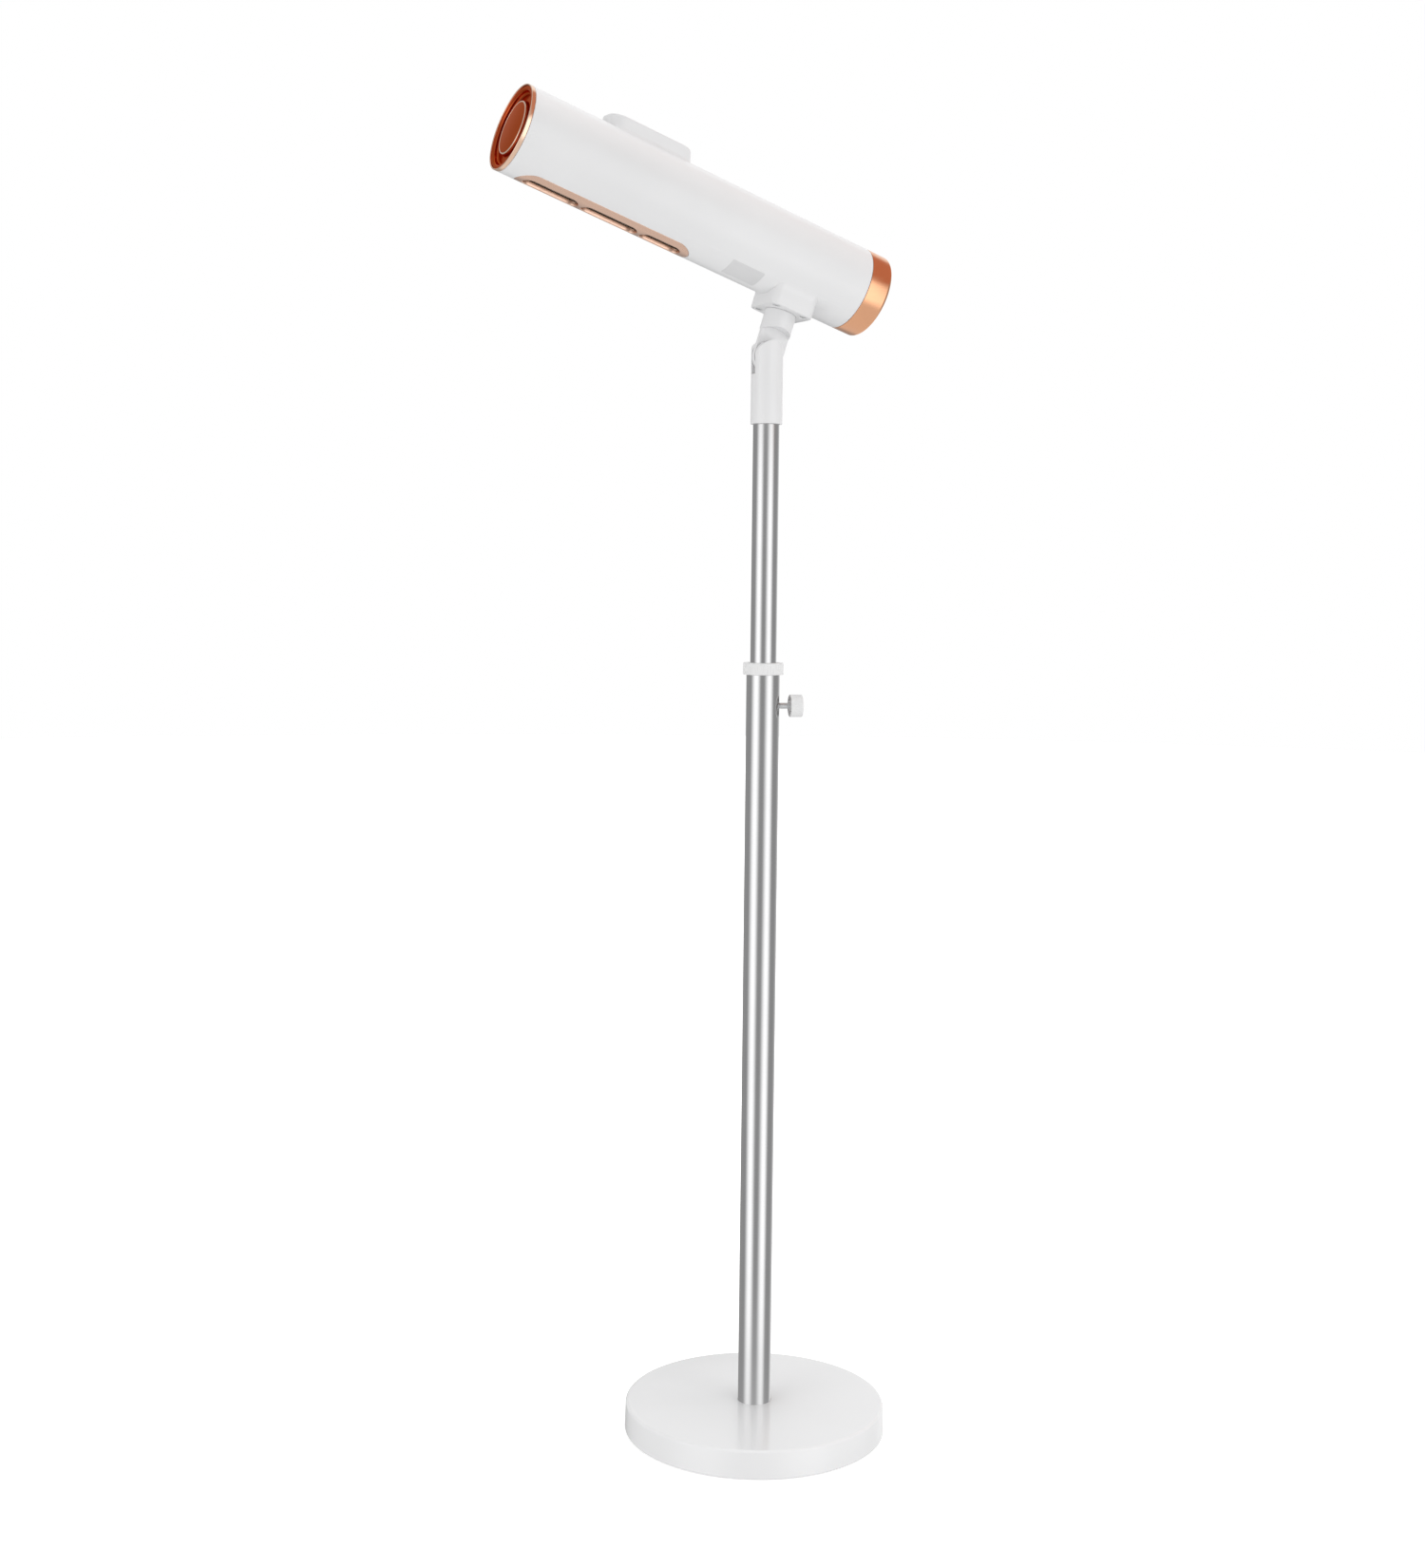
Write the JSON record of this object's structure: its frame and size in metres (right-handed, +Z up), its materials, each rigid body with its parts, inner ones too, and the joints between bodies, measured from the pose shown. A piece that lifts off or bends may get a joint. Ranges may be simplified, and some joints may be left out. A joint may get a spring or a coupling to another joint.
{
  "type": "pet dryer",
  "caption": "Tube-shaped warm-air pet dryer on a telescopic floor stand with a round weighted base and a tilting knuckle joint.",
  "frame": {"origin": "centre of the round pad under the base, on the floor and on the pole's axis", "axes": "+Z up the pole; the head's front end points along -X and its air outlet faces down; -Y is the side with the knuckle's closed cheek"},
  "size_m": [0.3995, 0.255, 1.2658],
  "materials": {
    "base_white": "gloss",
    "shell_white": "satin",
    "knuckle_white": "satin",
    "fitting_white": "satin",
    "panel_white": "gloss",
    "rose_gold": "gloss",
    "pale_rose_gold": "gloss",
    "burnt_copper": "gloss",
    "polished_steel": "polished",
    "outlet_steel": "satin",
    "zinc_steel": "satin",
    "cast_iron": "matte",
    "black_rubber": "matte",
    "dark_nylon": "matte",
    "mica": "matte",
    "nichrome": "satin",
    "motor_can": "satin",
    "circuit_board": "satin",
    "brass": "satin"
  },
  "bodies": {
    "stand": {"base_pad": "black_rubber", "base_ballast": "cast_iron", "base_cover": "base_white", "pole_bolt": "zinc_steel", "pole_washer": "zinc_steel", "foot_plug": "zinc_steel", "lower_tube": "polished_steel", "guide_bush": "dark_nylon", "collar": "fitting_white", "lock_nut": "zinc_steel"},
    "lock_tip": {"lock_pad": "brass"},
    "lock": {"lock_screw": "zinc_steel", "lock_knob": "fitting_white"},
    "slider": {"guide_ring": "dark_nylon"},
    "mast": {"upper_tube": "polished_steel", "knuckle_fork": "knuckle_white", "grub_screw": "zinc_steel", "pivot_bolt": "zinc_steel", "friction_washer_near": "dark_nylon", "friction_washer_far": "dark_nylon"},
    "head": {"knuckle_tongue": "knuckle_white", "spigot_washer": "zinc_steel", "spigot_nut": "zinc_steel", "head_shell": "shell_white", "front_ring": "rose_gold", "front_cap": "burnt_copper", "rear_band": "rose_gold", "rear_grille": "rose_gold", "bracket_plate": "shell_white", "cord_gland": "dark_nylon", "plate_screw_1": "zinc_steel", "plate_screw_2": "zinc_steel", "plate_screw_3": "zinc_steel", "plate_screw_4": "zinc_steel", "outlet_frame": "pale_rose_gold", "outlet_mesh": "outlet_steel", "air_duct": "mica", "heater_frame": "mica", "heater_coil": "nichrome", "terminal_block": "dark_nylon", "motor_mount": "dark_nylon", "fan_motor": "motor_can", "control_panel": "panel_white", "control_board": "circuit_board"},
    "fan": {"fan_impeller": "shell_white"},
    "power_button": {"button_1": "panel_white"},
    "heat_button": {"button_2": "panel_white"},
    "speed_button": {"button_3": "panel_white"}
  },
  "joints": [
    {"name": "lock_advance", "type": "slide", "parent": "stand", "child": "lock_tip", "axis": [0.9511, -0.309, 0], "range_m": [0, 0.003]},
    {"name": "lock_turn", "type": "hinge", "parent": "lock_tip", "child": "lock", "pos_m": [0, 0, 0.7135], "axis": [0.9511, -0.309, 0], "range_deg": [0, 1080]},
    {"name": "height_slide", "type": "slide", "parent": "stand", "child": "slider", "axis": [0, 0, 1], "range_m": [-0.2245, 0.3]},
    {"name": "mast_turn", "type": "hinge", "parent": "slider", "child": "mast", "pos_m": [0, 0, 0.7548], "axis": [0, 0, 1], "continuous": true},
    {"name": "head_tilt", "type": "hinge", "parent": "mast", "child": "head", "pos_m": [0, 0, 1.0421], "axis": [0, 1, 0], "range_deg": [-108, 71]},
    {"name": "fan_spin", "type": "hinge", "parent": "head", "child": "fan", "pos_m": [0.0958, 0, 1.10938], "axis": [-0.9483, 0, 0.3173], "continuous": true},
    {"name": "power_press", "type": "slide", "parent": "head", "child": "power_button", "axis": [-0.3173, 0, -0.9483], "range_m": [0, 0.0008], "stiffness_N_per_m": 600, "springref_m": -0.001},
    {"name": "heat_press", "type": "slide", "parent": "head", "child": "heat_button", "axis": [-0.3173, 0, -0.9483], "range_m": [0, 0.0008], "stiffness_N_per_m": 600, "springref_m": -0.001},
    {"name": "speed_press", "type": "slide", "parent": "head", "child": "speed_button", "axis": [-0.3173, 0, -0.9483], "range_m": [0, 0.0008], "stiffness_N_per_m": 600, "springref_m": -0.001}
  ],
  "couplings": [
    {"joint": "lock_turn", "follows": "lock_advance", "rad_per_m": 6283.2}
  ]
}
